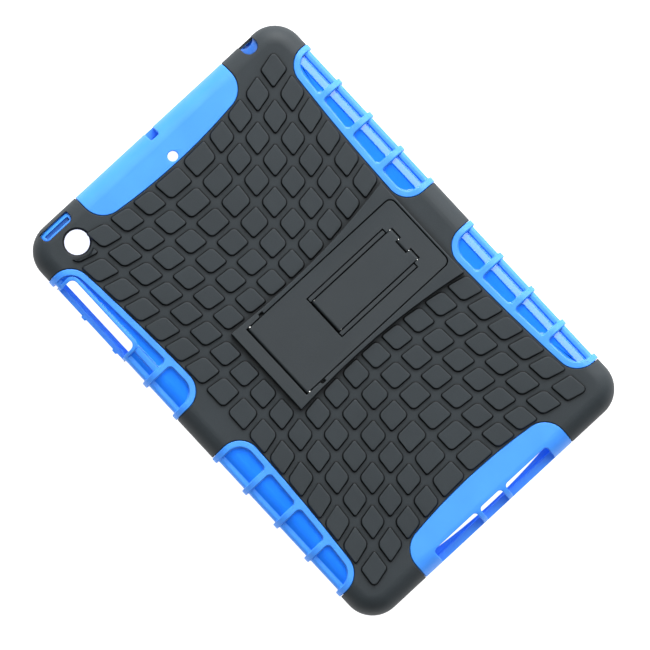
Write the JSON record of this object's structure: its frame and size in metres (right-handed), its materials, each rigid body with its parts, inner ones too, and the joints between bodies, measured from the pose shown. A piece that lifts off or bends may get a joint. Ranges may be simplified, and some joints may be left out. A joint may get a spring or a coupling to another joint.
{
  "type": "tablet case",
  "caption": "Rugged two-layer tablet case: soft inner sleeve, studded hard back shell, fold-out kickstand with a brace strut.",
  "frame": {"origin": "centre of the case's outline at the front lip's face, which is the lowest plane as it lies face down", "axes": "+X to the right when the back is seen with the camera end up, +Y towards the camera end, +Z out of the back"},
  "size_m": [0.141, 0.207, 0.014],
  "materials": {
    "shell": "fine matte grain",
    "sleeve": "smooth satin soft plastic",
    "stand": "fine matte grain",
    "pin": "bright drawn wire"
  },
  "bodies": {
    "case": {"rubber_sleeve": "sleeve", "hard_shell": "shell", "leg_pin_upper": "pin", "leg_pin_lower": "pin"},
    "leg": {"kickstand_leg": "stand", "strut_hinge_pin": "pin"},
    "strut": {"brace_strut": "stand", "strut_foot_pin": "pin"}
  },
  "joints": [
    {"name": "leg_hinge", "type": "hinge", "parent": "case", "child": "leg", "pos_m": [-0.0242, 0, 0.0128], "axis": [0, -1, 0], "range_deg": [0, 32]},
    {"name": "strut_hinge", "type": "hinge", "parent": "leg", "child": "strut", "pos_m": [0.0432, 0, 0.0128], "axis": [0, -1, 0], "range_deg": [0, 24]}
  ],
  "couplings": [
    {"joint": "strut_hinge", "follows": "leg_hinge", "ratio": 0.75}
  ]
}
